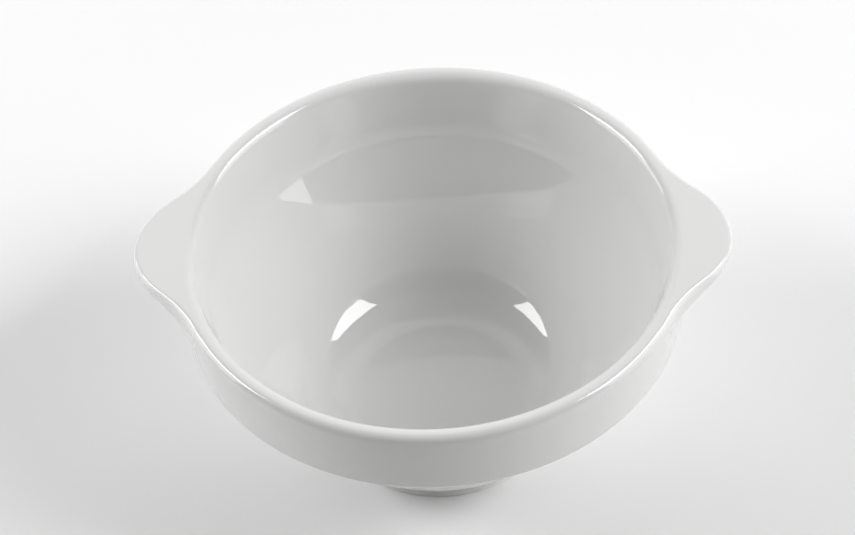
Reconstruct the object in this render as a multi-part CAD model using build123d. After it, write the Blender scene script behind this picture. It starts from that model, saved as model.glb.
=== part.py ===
"""Lug soup bowl in glazed porcelain, in millimetres.

The bowl stands on its foot ring at z = 0, its axis is +Z and its two lugs point along +X and -X.
Every clay piece lies under the glaze: its surface is the finished form drawn back by the glaze's thickness.
"""

import os
from math import atan2, cos, hypot, pi, radians, sin, sqrt, tan

from build123d import *

# Overall sizes
rim_radius = 63.7
height = 62.9
foot_radius = 31.5

# Lip and collar: the upright band under the rim, and the step below it that lets bowls stack
lip_width = 4.5
lip_inner_round = 2.8
lip_outer_round = 2.0
collar_height = 19.6
collar_taper = 1.6
step_edge_round = 0.9
step_root_round = 1.0

# Inside of the bowl: collar, wall with a slight swell, and floor, whose corner lies just outside the foot
collar_tilt = 12.4
bend_depth = 16.4
bend_round = 17.4
swell = 0.7
swell_share = 0.41
swell_round = 300.0
corner_out = 0.5
floor_round = 19.2
wall = 3.0
floor = 3.0

# Foot ring, which spreads towards the table
foot_height = 3.5
foot_width = 5.0
foot_flare = 26.0
foot_edge_round = 0.6

# Lugs: a round tip and a hollow curve on either side that runs out inside the rim
lug_length = 9.8
lug_tip_round = 20.1
lug_hollow_round = 124.0
lug_tip_thickness = 3.0
lug_root_thickness = 5.0
lug_edge_round = 1.4
lug_drop = 0.1
lug_bite = 1.5

# Finish and joints: the glaze coat, the dry band at the foot, and the slip that joins the pieces
glaze = 0.3
dry_band = 2.6
slip = 0.4

lug_reach = rim_radius + lug_length

# A round block that stands on its base
UPRIGHT = (Align.CENTER, Align.CENTER, Align.MIN)


def turn(before, after):
    """Sine of the turn between two directions, positive to the left."""
    return before[0] * after[1] - before[1] * after[0]


def direction(start, end):
    """Unit direction from one section point to the next."""
    length = hypot(end[0] - start[0], end[1] - start[1])
    return ((end[0] - start[0]) / length, (end[1] - start[1]) / length)


def draw_back(corners, inset):
    """Moves an open outline into the material, which lies to its right, and keeps its rounds concentric."""
    points = [(r, z) for r, z, _ in corners]
    ways = [direction(a, b) for a, b in zip(points, points[1:])]
    moved = []
    rounds = []
    for i, (r, z, corner_round) in enumerate(corners):
        before = ways[max(i - 1, 0)]
        after = ways[min(i, len(ways) - 1)]
        normals = [(way[1], -way[0]) for way in (before, after)]
        share = inset / (1 + normals[0][0] * normals[1][0] + normals[0][1] * normals[1][1])
        across = normals[0][0] + normals[1][0]
        upward = normals[0][1] + normals[1][1]
        moved.append((r + share * across, z + share * upward))
        if 0 < i < len(corners) - 1:
            rounds.append(corner_round + inset if turn(before, after) > 0 else corner_round - inset)
    return moved, rounds


def turned(corners, inset):
    """Solid of revolution about Z from an outline that starts and ends on the axis."""
    points, rounds = draw_back(corners, inset)
    outline = FilletPolyline(*points, radius=rounds)
    face = make_face(outline + Line(points[-1], points[0]))
    return revolve(Plane.XZ * face, Axis.Z)


# Corners of the bowl's half section, from the floor up the inside, over the lip and down the outside
lip_inner = rim_radius - lip_width
floor_z = foot_height + floor
step_z = height - collar_height
bend_r = lip_inner - bend_depth * tan(radians(collar_tilt))
bend_z = height - bend_depth
floor_r = foot_radius + corner_out
wall_tilt = atan2(bend_r - floor_r, bend_z - floor_z)
wall_run = tan(wall_tilt)
wall_across = wall / cos(wall_tilt)
swell_r = bend_r + swell_share * (floor_r - bend_r) - swell * cos(wall_tilt)
swell_z = bend_z + swell_share * (floor_z - bend_z) + swell * sin(wall_tilt)
step_r = bend_r - (bend_z - step_z) * wall_run + wall_across
under_r = floor_r - floor * wall_run + wall_across
bowl_corners = [
    (0, floor_z, 0),
    (floor_r, floor_z, floor_round),
    (swell_r, swell_z, swell_round),
    (bend_r, bend_z, bend_round),
    (lip_inner, height, lip_inner_round),
    (rim_radius, height, lip_outer_round),
    (rim_radius - collar_taper, step_z, step_edge_round),
    (step_r, step_z, step_root_round),
    (under_r, foot_height, floor_round + floor),
    (0, foot_height, 0),
]


def rise(corner_round, r):
    """How far a rounded floor has risen above its flat middle at radius r."""
    flat_r = floor_r - floor_round * tan((pi / 2 - wall_tilt) / 2)
    return corner_round - sqrt(corner_round**2 - max(r - flat_r, 0) ** 2)


# The foot's block ends halfway between the underside at its outer wall and the floor at its inner wall
under_at_foot = foot_height + rise(floor_round + floor, foot_radius)
floor_at_foot = floor_z + rise(floor_round, foot_radius - foot_width)
foot_top = (under_at_foot + floor_at_foot) / 2


def bowl_form(inset):
    """The bowl without foot and lugs, drawn back by inset."""
    return turned(bowl_corners, inset)


def foot_side(z):
    """Outer radius of the foot at height z."""
    return foot_radius - z * tan(radians(foot_flare))


def foot_form(inset, bottom):
    """The foot ring as a block that reaches up into the floor, drawn back at its sides by inset."""
    outer = Cone(foot_side(bottom) - inset, foot_side(foot_top) - inset, foot_top - bottom, align=UPRIGHT)
    inner = Cylinder(foot_radius - foot_width + inset, height, align=UPRIGHT)
    ring = Pos(0, 0, bottom) * outer - inner
    return fillet(ring.edges().group_by(Axis.Z)[0], foot_edge_round - inset)


def lug_outline(inset):
    """Plan of the +X lug, from the tip to inside the rim, drawn back by inset."""
    root_radius = rim_radius - lug_bite
    tip_middle = Vector(lug_reach - lug_tip_round, 0)
    to_axis = root_radius + lug_hollow_round
    to_tip = lug_tip_round + lug_hollow_round
    hollow_x = (to_axis**2 - to_tip**2 + tip_middle.X**2) / (2 * tip_middle.X)
    hollow_middle = Vector(hollow_x, sqrt(to_axis**2 - hollow_x**2))
    tip_way = (tip_middle - hollow_middle).normalized()
    axis_way = hollow_middle.normalized() * -1
    half_way = (tip_way + axis_way).normalized()
    hollow = lug_hollow_round + inset
    start, between, root = [hollow_middle + way * hollow for way in (tip_way, half_way, axis_way)]
    flank = ThreePointArc(start, between, root)
    tip_arc = ThreePointArc(start, (lug_reach - inset, 0), (start.X, -start.Y))
    root_arc = ThreePointArc(root, (root_radius - inset, 0), (root.X, -root.Y))
    return make_face(tip_arc + flank + mirror(flank, Plane.XZ) + root_arc)


def lug_form(inset):
    """The +X lug as a block that reaches into the rim: level on top, thicker towards its root below."""
    top = height - lug_drop - inset
    bottom = height - lug_drop - lug_tip_thickness + inset
    slope = (lug_root_thickness - lug_tip_thickness) / lug_length
    deepest = bottom - slope * lug_reach
    side = Polyline((0, top), (lug_reach, top), (lug_reach, bottom), (0, deepest), close=True)
    slab = extrude(Plane.XZ * make_face(side), lug_reach, both=True)
    block = slab & extrude(lug_outline(inset), height)
    tip_rims = block.edges().filter_by(Axis.Z, reverse=True).sort_by(Axis.X)[-2:]
    return fillet(tip_rims, lug_edge_round - inset)


def save(solid, name):
    export_step(solid, os.path.join("parts", name + ".step"))


os.makedirs("parts", exist_ok=True)

# Clay pieces
bowl_body = bowl_form(glaze)
slip_reach = bowl_form(glaze - slip)
foot_block = foot_form(glaze, 0)
lug_block = lug_form(glaze)

save(bowl_body, "bowl_body")
save(foot_block - slip_reach, "foot_ring")
save((foot_block & slip_reach) - bowl_body, "slip_joint_foot")

lug_turns = {"right": 0, "left": 180}
for side, angle in lug_turns.items():
    block = Rot(0, 0, angle) * lug_block
    save(block - slip_reach, f"lug_{side}")
    save((block & slip_reach) - bowl_body, f"slip_joint_{side}")

# Glaze over everything except the dry band of the foot, which parts the coat in two
finished_lug = lug_form(0)
finished = bowl_form(0) + foot_form(0, dry_band)
clay = bowl_body + foot_block
for angle in lug_turns.values():
    finished += Rot(0, 0, angle) * finished_lug
    clay += Rot(0, 0, angle) * lug_block
coat = finished - clay
under_in_foot = foot_height + rise(floor_round + floor, foot_radius - foot_width)
dry_inner = foot_radius - foot_width + foot_edge_round
inside_foot = Cylinder(dry_inner, (under_in_foot + floor_z) / 2, align=UPRIGHT)
save(coat - inside_foot, "glaze_coat")
save(coat & inside_foot, "base_glaze")
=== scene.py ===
import math

import bpy
from mathutils import Matrix, Vector


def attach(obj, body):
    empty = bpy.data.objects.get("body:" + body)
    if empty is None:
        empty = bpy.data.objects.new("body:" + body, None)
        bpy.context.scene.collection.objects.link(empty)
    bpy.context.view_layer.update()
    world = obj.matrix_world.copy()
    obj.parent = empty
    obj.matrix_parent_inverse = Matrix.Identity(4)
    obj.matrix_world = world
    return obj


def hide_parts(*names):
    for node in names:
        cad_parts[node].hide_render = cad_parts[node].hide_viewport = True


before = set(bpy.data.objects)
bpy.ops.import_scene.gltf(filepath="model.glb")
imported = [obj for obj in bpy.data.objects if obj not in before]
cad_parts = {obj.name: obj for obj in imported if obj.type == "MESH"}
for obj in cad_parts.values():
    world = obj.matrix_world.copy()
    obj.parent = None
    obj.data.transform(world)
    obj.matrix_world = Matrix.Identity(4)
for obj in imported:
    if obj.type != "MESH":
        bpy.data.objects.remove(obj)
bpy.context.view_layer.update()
scene = bpy.context.scene
MM = 0.001

# Points that lie closer than this, in metres, become one at seams and poles
SEAM = 2e-6

# Steps around the bowl and around its underside
BOWL_TURNS = 400
BASE_TURNS = 240

# Sizes of the bowl in millimetres, as in the part's source. Only the lugs' tip and hollow rounds differ,
# because the hollow flanks here run smoothly into the rim
SIZES = {
    "Rim Radius": 63.7,
    "Height": 62.9,
    "Lip Width": 4.5,
    "Lip Inner Round": 2.8,
    "Lip Outer Round": 2.0,
    "Collar Height": 19.6,
    "Collar Taper": 1.6,
    "Step Edge Round": 0.9,
    "Step Root Round": 1.0,
    "Bend Depth": 16.4,
    "Bend Inset": 3.61,
    "Bend Round": 17.4,
    "Swell": 0.7,
    "Swell Share": 0.41,
    "Swell Round": 300.0,
    "Floor Corner": 32.0,
    "Floor Round": 19.2,
    "Wall": 3.0,
    "Foot Height": 3.5,
    "Foot Radius": 31.5,
    "Foot Width": 5.0,
    "Foot Slope": 0.488,
    "Foot Hollow": 1.4,
    "Dry Band": 2.6,
    "Glaze": 0.3,
    "Glaze Edge Round": 0.28,
    "Lug Length": 9.8,
    "Lug Tip Round": 20.2,
    "Lug Hollow Round": 46.5,
    "Lug Tip Thickness": 3.0,
    "Lug Root Thickness": 5.0,
    "Lug Edge Round": 1.4,
    "Lug Root Round": 2.6,
    "Lug Drop": 0.1,
}


class Wire:
    """One value in a node tree, so that a rule for a shape can be written as a formula."""

    def __init__(self, tree, socket):
        self.tree = tree
        self.socket = socket

    def math(self, operation, *others):
        node = self.tree.nodes.new("ShaderNodeMath")
        node.operation = operation
        for slot, value in enumerate((self,) + others):
            feed(self.tree, node.inputs[slot], value)
        return Wire(self.tree, node.outputs[0])

    def __add__(self, other):
        return self.math("ADD", other)

    def __sub__(self, other):
        return self.math("SUBTRACT", other)

    def __mul__(self, other):
        return self.math("MULTIPLY", other)

    def __truediv__(self, other):
        return self.math("DIVIDE", other)

    def __rsub__(self, other):
        return (self * -1.0) + other

    def below(self, other):
        return self.math("LESS_THAN", other)

    def root(self):
        return self.math("MAXIMUM", 0.0).math("SQRT")

    __radd__ = __add__
    __rmul__ = __mul__


def feed(tree, socket, value):
    """Links a wire to a socket, or sets the socket to a plain value."""
    if isinstance(value, Wire):
        tree.links.new(value.socket, socket)
    else:
        socket.default_value = value


def vector_math(operation, *values, scale=None):
    """A vector operation on wires, whose result is a wire."""
    tree = values[0].tree
    node = tree.nodes.new("ShaderNodeVectorMath")
    node.operation = operation
    for slot, value in enumerate(values):
        feed(tree, node.inputs[slot], value)
    if scale is not None:
        feed(tree, node.inputs["Scale"], scale)
    number = operation in ("DOT_PRODUCT", "LENGTH")
    return Wire(tree, node.outputs["Value" if number else "Vector"])


def make_group(name, inputs, outputs):
    """An empty Geometry Nodes group with named sockets, and a function that finds its inputs."""
    tree = bpy.data.node_groups.new(name, "GeometryNodeTree")
    for label, kind in inputs:
        tree.interface.new_socket(label, in_out="INPUT", socket_type=kind)
    for label, kind in outputs:
        tree.interface.new_socket(label, in_out="OUTPUT", socket_type=kind)
    start = tree.nodes.new("NodeGroupInput")
    end = tree.nodes.new("NodeGroupOutput")
    return tree, (lambda label: Wire(tree, start.outputs[label])), end


FLOAT = "NodeSocketFloat"
VECTOR = "NodeSocketVector"
GEOMETRY = "NodeSocketGeometry"


def build_rounded_corner():
    """A point on the round at a corner of the section, by its share of the way from start to end."""
    inputs = [("Before", VECTOR), ("Corner", VECTOR), ("After", VECTOR), ("Round", FLOAT), ("Share", FLOAT)]
    outputs = [("Point", VECTOR), ("Start", VECTOR), ("End", VECTOR)]
    tree, given, end = make_group("rounded corner", inputs, outputs)
    corner = given("Corner")
    back = vector_math("NORMALIZE", vector_math("SUBTRACT", given("Before"), corner))
    ahead = vector_math("NORMALIZE", vector_math("SUBTRACT", given("After"), corner))
    half = vector_math("DOT_PRODUCT", back, ahead).math("ARCCOSINE") * 0.5
    length = given("Round") / half.math("TANGENT")
    first = vector_math("ADD", corner, vector_math("SCALE", back, scale=length))
    last = vector_math("ADD", corner, vector_math("SCALE", ahead, scale=length))
    share = given("Share")
    rest = 1.0 - share
    pull = share * rest * half.math("SINE") * 2.0
    parts = [(first, rest * rest), (corner, pull), (last, share * share)]
    total = parts[0][1] + parts[1][1] + parts[2][1]
    point = vector_math("SCALE", first, scale=parts[0][1] / total)
    for place, weight in parts[1:]:
        point = vector_math("ADD", point, vector_math("SCALE", place, scale=weight / total))
    for label, wire in (("Point", point), ("Start", first), ("End", last)):
        tree.links.new(wire.socket, end.inputs[label])
    return tree


ROUNDED_CORNER = build_rounded_corner()


def place(tree, r, z):
    """A point of the half section."""
    node = tree.nodes.new("ShaderNodeCombineXYZ")
    feed(tree, node.inputs["X"], r)
    feed(tree, node.inputs["Z"], z)
    return Wire(tree, node.outputs[0])


def turned_tree(name, draw_section, turns, row_counts):
    """Geometry Nodes tree that turns a rounded half section about Z.

    draw_section gives corners as (r, z, round), which may change with the azimuth. row_counts gives, for
    each corner, the rows on its round and the rows on the straight run after it.
    """
    inputs = [(label, FLOAT) for label in SIZES] + [("Surface", "NodeSocketMaterial")]
    tree, given, end = make_group(name, inputs, [("Geometry", GEOMETRY)])
    rows = sum(arc + run for arc, run in row_counts) + 1
    grid = tree.nodes.new("GeometryNodeMeshGrid")
    grid.inputs["Vertices X"].default_value = turns + 1
    grid.inputs["Vertices Y"].default_value = rows
    index = Wire(tree, tree.nodes.new("GeometryNodeInputIndex").outputs[0])
    row = index.math("MODULO", float(rows))
    azimuth = (index / float(rows) + 0.5 / rows).math("FLOOR") * (2 * math.pi / turns)

    corners = draw_section(given, azimuth)
    points = [place(tree, r, z) for r, z, _ in corners]
    bends = []
    begin = 0
    for i, (arc, run) in enumerate(row_counts):
        bend = None
        if arc:
            node = tree.nodes.new("GeometryNodeGroup")
            node.node_tree = ROUNDED_CORNER
            for label, wire in zip(("Before", "Corner", "After"), points[i - 1:i + 2]):
                tree.links.new(wire.socket, node.inputs[label])
            feed(tree, node.inputs["Round"], corners[i][2])
            share = ((row - float(begin)) / float(arc)).math("MAXIMUM", 0.0).math("MINIMUM", 1.0)
            feed(tree, node.inputs["Share"], share)
            bend = {label: Wire(tree, node.outputs[label]) for label in ("Point", "Start", "End")}
        bends.append((begin, arc, run, bend))
        begin += arc + run

    choices = []
    for i, (begin, arc, run, bend) in enumerate(bends):
        if arc:
            choices.append((begin, bend["Point"]))
        if run:
            left = bend["End"] if arc else points[i]
            ahead = bends[i + 1][3] if i + 1 < len(bends) else None
            right = ahead["Start"] if ahead else points[i + 1]
            mix = tree.nodes.new("ShaderNodeMix")
            mix.data_type = "VECTOR"
            feed(tree, mix.inputs[0], (row - float(begin + arc)) / float(run))
            tree.links.new(left.socket, mix.inputs[4])
            tree.links.new(right.socket, mix.inputs[5])
            choices.append((begin + arc, Wire(tree, mix.outputs[1])))
    stretch = None
    for begin, _ in choices[1:]:
        passed = row.math("GREATER_THAN", begin - 0.5)
        stretch = passed if stretch is None else stretch + passed
    switch = tree.nodes.new("GeometryNodeIndexSwitch")
    switch.data_type = "VECTOR"
    while len(switch.index_switch_items) < len(choices):
        switch.index_switch_items.new()
    tree.links.new(stretch.socket, switch.inputs[0])
    for slot, (_, wire) in enumerate(choices):
        tree.links.new(wire.socket, switch.inputs[1 + slot])
    split = tree.nodes.new("ShaderNodeSeparateXYZ")
    tree.links.new(switch.outputs[0], split.inputs[0])
    r = Wire(tree, split.outputs["X"])
    spot = tree.nodes.new("ShaderNodeCombineXYZ")
    feed(tree, spot.inputs["X"], r * azimuth.math("COSINE") * MM)
    feed(tree, spot.inputs["Y"], r * azimuth.math("SINE") * MM)
    feed(tree, spot.inputs["Z"], Wire(tree, split.outputs["Z"]) * MM)

    moved = tree.nodes.new("GeometryNodeSetPosition")
    tree.links.new(grid.outputs["Mesh"], moved.inputs["Geometry"])
    tree.links.new(spot.outputs[0], moved.inputs["Position"])
    merged = tree.nodes.new("GeometryNodeMergeByDistance")
    merged.inputs["Distance"].default_value = SEAM
    outward = tree.nodes.new("GeometryNodeFlipFaces")
    smooth = tree.nodes.new("GeometryNodeSetShadeSmooth")
    real = tree.nodes.new("GeometryNodeRealizeInstances")
    coat = tree.nodes.new("GeometryNodeSetMaterial")
    chain = [moved, merged, outward, smooth, real, coat]
    for before, after in zip(chain, chain[1:]):
        tree.links.new(before.outputs[0], after.inputs[0])
    tree.links.new(given("Surface").socket, coat.inputs["Material"])
    tree.links.new(coat.outputs["Geometry"], end.inputs["Geometry"])
    return tree


def lug_outline(given, azimuth):
    """How far the rim and its lugs reach at an azimuth: a round tip, hollow flanks, then the round rim."""
    rim = given("Rim Radius")
    tip = given("Lug Tip Round")
    hollow = given("Lug Hollow Round")
    side = azimuth.math("SINE").math("ABSOLUTE")
    ahead = azimuth.math("COSINE").math("ABSOLUTE")
    angle = side.math("ARCTAN2", ahead)
    tip_x = rim + given("Lug Length") - tip
    to_axis = rim + hollow
    to_tip = tip + hollow
    hollow_x = (to_axis * to_axis - to_tip * to_tip + tip_x * tip_x) / (tip_x * 2.0)
    hollow_y = (to_axis * to_axis - hollow_x * hollow_x).root()
    share = tip / to_tip
    change = (hollow_y * share).math("ARCTAN2", tip_x + (hollow_x - tip_x) * share)
    finish = hollow_y.math("ARCTAN2", hollow_x)
    tip_reach = tip_x * ahead + (tip * tip - tip_x * tip_x * side * side).root()
    along = hollow_x * ahead + hollow_y * side
    hollow_reach = along - (along * along - to_axis * to_axis + hollow * hollow).root()
    on_tip = angle.below(change)
    on_hollow = angle.below(finish) - on_tip
    return rim + on_tip * (tip_reach - rim) + on_hollow * (hollow_reach - rim), ahead


def wall_line(given):
    """Ends of the inner wall, at the bend and at the floor's corner, as (r, z), and the wall's tilt."""
    bend_r = given("Rim Radius") - given("Lip Width") - given("Bend Inset")
    bend_z = given("Height") - given("Bend Depth")
    floor_r = given("Floor Corner")
    floor_z = given("Foot Height") + given("Wall")
    tilt = (bend_r - floor_r).math("ARCTAN2", bend_z - floor_z)
    return (bend_r, bend_z), (floor_r, floor_z), tilt


def underside(given):
    """Round of the underside and the radius at which it begins, around the flat middle."""
    _, (floor_r, _), tilt = wall_line(given)
    flat_r = floor_r - given("Floor Round") * ((math.pi / 2 - tilt) * 0.5).math("TANGENT")
    return given("Floor Round") + given("Wall"), flat_r


# Length of lug, in millimetres, over which the lip's edge turns into the lug's edge.
# Where a lug is short, its lower rounds are these shares of its length
LUG_GROWTH = 4.0
LOW_ROUND_SHARE = 0.3
ROOT_ROUND_SHARE = 0.5

# The glaze meshes close inside the clay, at these shares of the wall's thickness and of the foot's width
BOWL_CLOSE_LEVEL = 0.5
BOWL_CLOSE_INSET = 0.6
BASE_CLOSE_LEVEL = 0.4

# Rounds of a search for the height at which the foot's slope meets the rounded underside
FOOT_ROUNDS = 3


def bowl_section(given, azimuth):
    """Half section of the glazed bowl: floor, inside, rim or lug, outside and foot."""
    height = given("Height")
    rim = given("Rim Radius")
    foot_height = given("Foot Height")
    wall = given("Wall")
    (bend_r, bend_z), (floor_r, floor_z), tilt = wall_line(given)
    step_z = height - given("Collar Height")
    step_r = bend_r - (bend_z - step_z) * tilt.math("TANGENT") + wall / tilt.math("COSINE")

    reach, ahead = lug_outline(given, azimuth)
    length = reach - rim
    grown = (length / LUG_GROWTH).math("MINIMUM", 1.0)
    slope = (given("Lug Root Thickness") - given("Lug Tip Thickness")) / given("Lug Length")
    tip_x = rim + given("Lug Length")
    top = height - given("Lug Drop") * length / given("Lug Length")
    edge_low = height - given("Lug Tip Thickness") - slope * (tip_x - reach * ahead)
    root_low = height - given("Lug Tip Thickness") - slope * (tip_x - rim * ahead)
    lip_round = given("Lip Outer Round")
    edge_round = lip_round + (given("Lug Edge Round") - lip_round) * grown
    low_round = (length * LOW_ROUND_SHARE).math("MINIMUM", given("Lug Edge Round"))
    root_round = (length * ROOT_ROUND_SHARE).math("MINIMUM", given("Lug Root Round"))
    wall_in = (height - root_low) / given("Collar Height") * given("Collar Taper")

    under_round, flat_r = underside(given)
    cone_turn = math.pi / 2 - tilt
    foot_r = given("Foot Radius")
    slope_in = given("Foot Slope")
    joint_z = foot_height
    for _ in range(FOOT_ROUNDS):
        foot_turn = ((foot_r - slope_in * joint_z - flat_r) / under_round).math("ARCSINE")
        joint_z = foot_height + under_round * (1.0 - foot_turn.math("COSINE"))
    middle = (cone_turn + foot_turn) * 0.5
    out = under_round / ((cone_turn - foot_turn) * 0.5).math("COSINE")
    shoulder_z = foot_height + under_round - out * middle.math("COSINE")
    dry = given("Dry Band")
    dry_r = foot_r - slope_in * dry
    share = given("Swell Share")
    swell = given("Swell")
    swell_r = bend_r + (floor_r - bend_r) * share - swell * tilt.math("COSINE")
    swell_z = bend_z + (floor_z - bend_z) * share + swell * tilt.math("SINE")
    close_z = foot_height + wall * BOWL_CLOSE_LEVEL
    return [
        (0.0, floor_z, 0.0),
        (floor_r, floor_z, given("Floor Round")),
        (swell_r, swell_z, given("Swell Round")),
        (bend_r, bend_z, given("Bend Round")),
        (rim - given("Lip Width"), height, given("Lip Inner Round")),
        (reach, top, edge_round),
        (reach - wall_in * (1.0 - grown), edge_low, low_round),
        (rim - wall_in, root_low, root_round),
        (rim - given("Collar Taper"), step_z, given("Step Edge Round")),
        (step_r, step_z, given("Step Root Round")),
        (flat_r + out * middle.math("SINE"), shoulder_z, under_round),
        (foot_r - slope_in * joint_z, joint_z, given("Foot Hollow")),
        (dry_r, dry, given("Glaze Edge Round")),
        (dry_r - given("Glaze"), dry, 0.0),
        (foot_r - given("Foot Width") * BOWL_CLOSE_INSET, close_z, 0.0),
        (0.0, close_z, 0.0),
    ]


# Rows on each corner's round and on the run after it, in the order of the section
INSIDE_ROWS = [(0, 8), (38, 6), (16, 5), (24, 10), (14, 10)]
LUG_AND_COLLAR_ROWS = [(10, 4), (8, 10), (8, 10), (8, 3)]
OUTSIDE_ROWS = [(8, 16), (12, 4), (8, 4), (4, 1), (0, 2), (0, 3)]
BOWL_ROWS = INSIDE_ROWS + LUG_AND_COLLAR_ROWS + OUTSIDE_ROWS


def base_section(given, _):
    """Half section of the glaze under the bowl, which is the same all round."""
    foot_height = given("Foot Height")
    under_round, flat_r = underside(given)
    foot_in = given("Foot Radius") - given("Foot Width")
    turn = ((foot_in - flat_r) / under_round).math("ARCSINE")
    joint_z = foot_height + under_round - under_round * turn.math("COSINE")
    rise_r = flat_r + under_round * (turn * 0.5).math("TANGENT")
    dry = given("Dry Band")
    clay_in = foot_in + given("Glaze")
    close_z = foot_height + given("Wall") * BASE_CLOSE_LEVEL
    return [
        (0.0, close_z, 0.0),
        (clay_in, close_z, 0.0),
        (clay_in, dry, 0.0),
        (foot_in, dry, given("Glaze Edge Round")),
        (foot_in, joint_z, given("Foot Hollow")),
        (rise_r, foot_height, under_round),
        (0.0, foot_height, 0.0),
    ]


BASE_ROWS = [(0, 3), (0, 2), (0, 1), (4, 4), (10, 3), (14, 24)]


def turned_piece(name, tree, surface):
    """Runs a turned tree on an empty mesh and keeps its result as a plain mesh at the origin."""
    holder = bpy.data.objects.new(name + "_rule", bpy.data.meshes.new(name + "_rule"))
    scene.collection.objects.link(holder)
    modifier = holder.modifiers.new("turning", "NODES")
    modifier.node_group = tree
    for item in tree.interface.items_tree:
        if item.in_out == "INPUT":
            modifier[item.identifier] = surface if item.name == "Surface" else SIZES[item.name]
    made = bpy.data.meshes.new_from_object(holder.evaluated_get(bpy.context.evaluated_depsgraph_get()))
    holder.modifiers.remove(modifier)
    bpy.data.objects.remove(holder)
    made.name = name
    piece = bpy.data.objects.new(name, made)
    scene.collection.objects.link(piece)
    return piece


# Fineness of the noise, and the level that a cell's random value has to pass for a speck
NOISE_DETAIL = 3.0
SPECKED_CELL = 0.72


def build_kiln_grain():
    """Shader group for what the kiln leaves: slow drift of tone, fine grain and sparse specks."""
    tree = bpy.data.node_groups.new("kiln grain", "ShaderNodeTree")
    for label in ("Drift Scale", "Grain Scale", "Speck Scale", "Speck Size"):
        tree.interface.new_socket(label, in_out="INPUT", socket_type=FLOAT)
    for label in ("Drift", "Grain", "Specks"):
        tree.interface.new_socket(label, in_out="OUTPUT", socket_type=FLOAT)
    start = tree.nodes.new("NodeGroupInput")
    end = tree.nodes.new("NodeGroupOutput")
    where = tree.nodes.new("ShaderNodeTexCoord").outputs["Object"]
    for label in ("Drift", "Grain"):
        noise = tree.nodes.new("ShaderNodeTexNoise")
        noise.inputs["Detail"].default_value = NOISE_DETAIL
        tree.links.new(where, noise.inputs["Vector"])
        tree.links.new(start.outputs[label + " Scale"], noise.inputs["Scale"])
        tree.links.new(noise.outputs[0], end.inputs[label])
    cells = tree.nodes.new("ShaderNodeTexVoronoi")
    tree.links.new(where, cells.inputs["Vector"])
    tree.links.new(start.outputs["Speck Scale"], cells.inputs["Scale"])
    near = Wire(tree, cells.outputs["Distance"]).below(Wire(tree, start.outputs["Speck Size"]))
    split = tree.nodes.new("ShaderNodeSeparateColor")
    tree.links.new(cells.outputs["Color"], split.inputs[0])
    specks = near * Wire(tree, split.outputs[0]).math("GREATER_THAN", SPECKED_CELL)
    tree.links.new(specks.socket, end.inputs["Specks"])
    return tree


KILN_GRAIN = build_kiln_grain()


def fired_surface(name, light, dark, speck, scales, rough, bump):
    """A fired ceramic surface with two close tones that drift, sparse specks, and a fine grain."""
    material = bpy.data.materials.new(name)
    material.use_nodes = True
    tree = material.node_tree
    shader = tree.nodes["Principled BSDF"]
    grain = tree.nodes.new("ShaderNodeGroup")
    grain.node_tree = KILN_GRAIN
    for label, value in scales.items():
        grain.inputs[label].default_value = value
    tone = tree.nodes.new("ShaderNodeMix")
    tone.data_type = "RGBA"
    tone.inputs[6].default_value = (*dark, 1)
    tone.inputs[7].default_value = (*light, 1)
    tree.links.new(grain.outputs["Drift"], tone.inputs[0])
    spotted = tree.nodes.new("ShaderNodeMix")
    spotted.data_type = "RGBA"
    spotted.inputs[7].default_value = (*speck, 1)
    tree.links.new(grain.outputs["Specks"], spotted.inputs[0])
    tree.links.new(tone.outputs[2], spotted.inputs[6])
    tree.links.new(spotted.outputs[2], shader.inputs["Base Color"])
    low, high = rough
    spread = Wire(tree, grain.outputs["Grain"]) * (high - low) + low
    tree.links.new(spread.socket, shader.inputs["Roughness"])
    height = tree.nodes.new("ShaderNodeBump")
    height.inputs["Strength"].default_value = bump[0]
    height.inputs["Distance"].default_value = bump[1]
    tree.links.new(grain.outputs["Grain"], height.inputs["Height"])
    tree.links.new(height.outputs[0], shader.inputs["Normal"])
    return material


# How strongly the glaze bends light, which sets how much it mirrors
GLAZE_IOR = 1.58

glaze = fired_surface(
    "white glaze",
    light=(0.74, 0.74, 0.735),
    dark=(0.72, 0.72, 0.715),
    speck=(0.42, 0.40, 0.37),
    scales={"Drift Scale": 22.0, "Grain Scale": 160.0, "Speck Scale": 85.0, "Speck Size": 0.014},
    rough=(0.015, 0.03),
    bump=(0.03, 0.0002),
)
glaze.node_tree.nodes["Principled BSDF"].inputs["IOR"].default_value = GLAZE_IOR
clay = fired_surface(
    "bare fired clay",
    light=(0.90, 0.89, 0.87),
    dark=(0.84, 0.83, 0.81),
    speck=(0.45, 0.40, 0.34),
    scales={"Drift Scale": 60.0, "Grain Scale": 2600.0, "Speck Scale": 240.0, "Speck Size": 0.05},
    rough=(0.62, 0.82),
    bump=(0.35, 0.0002),
)
slip = fired_surface(
    "fired slip",
    light=(0.80, 0.78, 0.74),
    dark=(0.74, 0.715, 0.665),
    speck=(0.48, 0.43, 0.37),
    scales={"Drift Scale": 90.0, "Grain Scale": 3200.0, "Speck Scale": 300.0, "Speck Size": 0.04},
    rough=(0.6, 0.78),
    bump=(0.3, 0.00015),
)

bowl_tree = turned_tree("turned bowl", bowl_section, BOWL_TURNS, BOWL_ROWS)
base_tree = turned_tree("turned underside", base_section, BASE_TURNS, BASE_ROWS)
bowl_glaze = turned_piece("bowl_glaze", bowl_tree, glaze)
underside_glaze = turned_piece("underside_glaze", base_tree, glaze)
for piece, node in ((bowl_glaze, "glaze_coat"), (underside_glaze, "base_glaze")):
    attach(piece, "root")
    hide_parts(node)

for name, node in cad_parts.items():
    if "glaze" in name:
        continue
    node.data.materials.clear()
    node.data.materials.append(slip if name.startswith("slip_joint") else clay)


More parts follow.
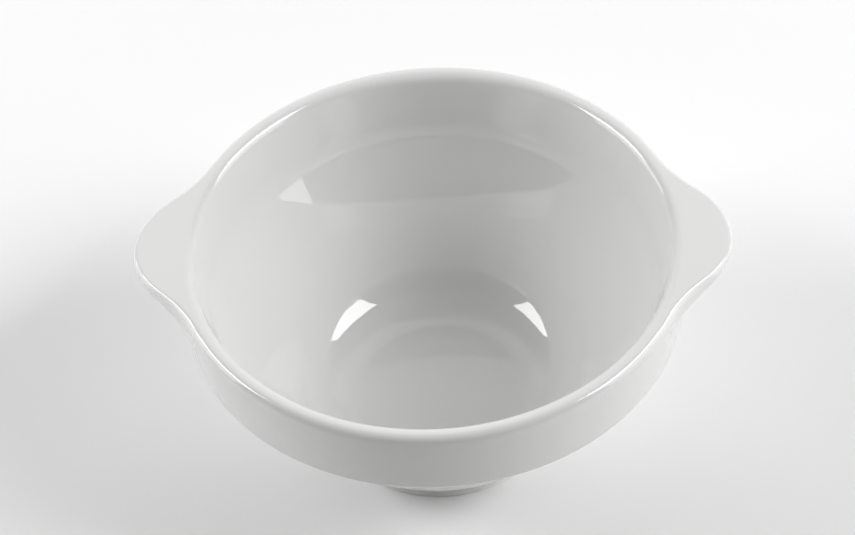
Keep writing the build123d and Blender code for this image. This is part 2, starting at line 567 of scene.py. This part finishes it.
def plain_surface(name, light, dark, scale, rough):
    """A plain painted surface with a faint drift of tone."""
    material = bpy.data.materials.new(name)
    material.use_nodes = True
    tree = material.node_tree
    shader = tree.nodes["Principled BSDF"]
    where = tree.nodes.new("ShaderNodeTexCoord").outputs["Object"]
    noise = tree.nodes.new("ShaderNodeTexNoise")
    noise.inputs["Scale"].default_value = scale
    tree.links.new(where, noise.inputs["Vector"])
    tone = tree.nodes.new("ShaderNodeMix")
    tone.data_type = "RGBA"
    tone.inputs[6].default_value = (*dark, 1)
    tone.inputs[7].default_value = (*light, 1)
    tree.links.new(noise.outputs[0], tone.inputs[0])
    tree.links.new(tone.outputs[2], shader.inputs["Base Color"])
    shader.inputs["Roughness"].default_value = rough
    return material


# Half of the table's width, in metres
TABLE_HALF = 4.0
table_ways = [(-1, -1), (1, -1), (1, 1), (-1, 1)]
table_corners = [(x * TABLE_HALF, y * TABLE_HALF, 0) for x, y in table_ways]
table_mesh = bpy.data.meshes.new("table_top")
table_mesh.from_pydata(table_corners, [], [(0, 1, 2, 3)])
table = bpy.data.objects.new("table_top", table_mesh)
scene.collection.objects.link(table)
table_paint = plain_surface(
    "pale table",
    light=(0.90, 0.90, 0.90),
    dark=(0.89, 0.89, 0.89),
    scale=3.0,
    rough=0.7,
)
table_mesh.materials.append(table_paint)


def softbox(name, spot, facing, width, tall, radiance):
    """A rectangular studio lamp that is equally bright all over, given as a radiance."""
    lamp = bpy.data.lights.new(name, "AREA")
    lamp.shape = "RECTANGLE"
    lamp.size = width
    lamp.size_y = tall
    lamp.energy = math.pi * width * tall * radiance
    holder = bpy.data.objects.new(name, lamp)
    holder.location = spot
    holder.rotation_euler = Vector(facing).to_track_quat("-Z", "Y").to_euler()
    scene.collection.objects.link(holder)


# The side softboxes stand upright and face a little behind the bowl, which also lights the table there
right_facing = (-0.819, 0.574, 0)
left_facing = (0.883, 0.469, 0)
softbox("right softbox, upper half", (0.982, 0.038, 0.835), right_facing, 0.884, 0.57, 9.4)
softbox("right softbox, lower half", (0.982, 0.038, 0.30), right_facing, 0.884, 0.50, 2.8)
softbox("left softbox, upper half", (-0.89, 0.10, 0.70), left_facing, 0.62, 0.40, 9.6)
softbox("left softbox, lower half", (-0.975, 0.261, 0.275), left_facing, 0.98, 0.45, 3.3)


def between(value, low, high):
    """Smooth rise from 0 to 1 as a value goes from low to high."""
    node = value.tree.nodes.new("ShaderNodeMapRange")
    node.interpolation_type = "SMOOTHSTEP"
    feed(value.tree, node.inputs["Value"], value)
    node.inputs["From Min"].default_value = low
    node.inputs["From Max"].default_value = high
    return Wire(value.tree, node.outputs[0])


# Fades of the backdrop: at its sides, by the sine of the azimuth, and upwards, by the sine of the elevation
SIDE_FADE = (0.6, 0.85)
FOOT_FADE = (0.25, 0.5)
TOP_FADE = (0.9, 0.98)
OVERHEAD_FADE = (0.75, 0.95)


def light_room(dim, backdrop_low, backdrop_high, overhead):
    """A dim room with a white backdrop behind the bowl, lit more at its foot, and a soft glow overhead."""
    world = bpy.data.worlds.new("studio")
    scene.world = world
    world.use_nodes = True
    tree = world.node_tree
    split = tree.nodes.new("ShaderNodeSeparateXYZ")
    tree.links.new(tree.nodes.new("ShaderNodeTexCoord").outputs["Generated"], split.inputs[0])
    x, y, z = (Wire(tree, split.outputs[axis]) for axis in "XYZ")
    behind = between(y / (x * x + y * y).root(), *SIDE_FADE)
    backdrop = between(z, *FOOT_FADE) * (backdrop_high - backdrop_low) + backdrop_low
    faded = behind * (1.0 - between(z, *TOP_FADE))
    level = faded * backdrop + between(z, *OVERHEAD_FADE) * overhead + dim
    tree.links.new(level.socket, tree.nodes["Background"].inputs["Strength"])
    tree.nodes["Background"].inputs["Color"].default_value = (1, 1, 1, 1)


light_room(dim=0.02, backdrop_low=1.1, backdrop_high=0.8, overhead=0.21)


def turn_about(axis, angle, *vectors):
    """Turns vectors about an axis by an angle in radians."""
    turn = Matrix.Rotation(angle, 3, axis)
    return [turn @ v for v in vectors]


# Camera fitted to the rim and lugs: angles in degrees, distance in inner rim radii, focal length in pixels
CAMERA_ELEVATION = 46.15
CAMERA_PAN = 0.134
CAMERA_TILT = -0.665
CAMERA_ROLL = 3.88
CAMERA_AROUND = 3.45
CAMERA_DISTANCE = 10.0
INNER_RIM = 0.0597
FOCAL_PIXELS = 2434.3
PICTURE_WIDTH = 855
SENSOR_WIDTH = 36.0


def photo_camera():
    """Sets the camera that was fitted to the rim and lugs."""
    angles = (CAMERA_ELEVATION, CAMERA_PAN, CAMERA_TILT, CAMERA_ROLL, CAMERA_AROUND)
    elevation, pan, tilt, roll, around = (math.radians(angle) for angle in angles)
    forward = Vector((0, math.cos(elevation), -math.sin(elevation)))
    right = Vector((1, 0, 0))
    up = right.cross(forward)
    spot = forward * -CAMERA_DISTANCE
    forward, right = turn_about(up, pan, forward, right)
    forward, up = turn_about(right, tilt, forward, up)
    right, up = turn_about(forward, roll, right, up)
    spot, forward, right, up = turn_about(Vector((0, 0, 1)), around, spot, forward, right, up)
    spot = spot * INNER_RIM + Vector((0, 0, SIZES["Height"] * MM))
    lens = bpy.data.cameras.new("photo camera")
    lens.sensor_fit = "HORIZONTAL"
    lens.sensor_width = SENSOR_WIDTH
    lens.lens = FOCAL_PIXELS / PICTURE_WIDTH * SENSOR_WIDTH
    holder = bpy.data.objects.new("photo camera", lens)
    columns = Matrix((right, up, -forward)).transposed().to_4x4()
    holder.matrix_world = Matrix.Translation(spot) @ columns
    scene.collection.objects.link(holder)
    scene.camera = holder


photo_camera()
scene.view_settings.view_transform = "Standard"
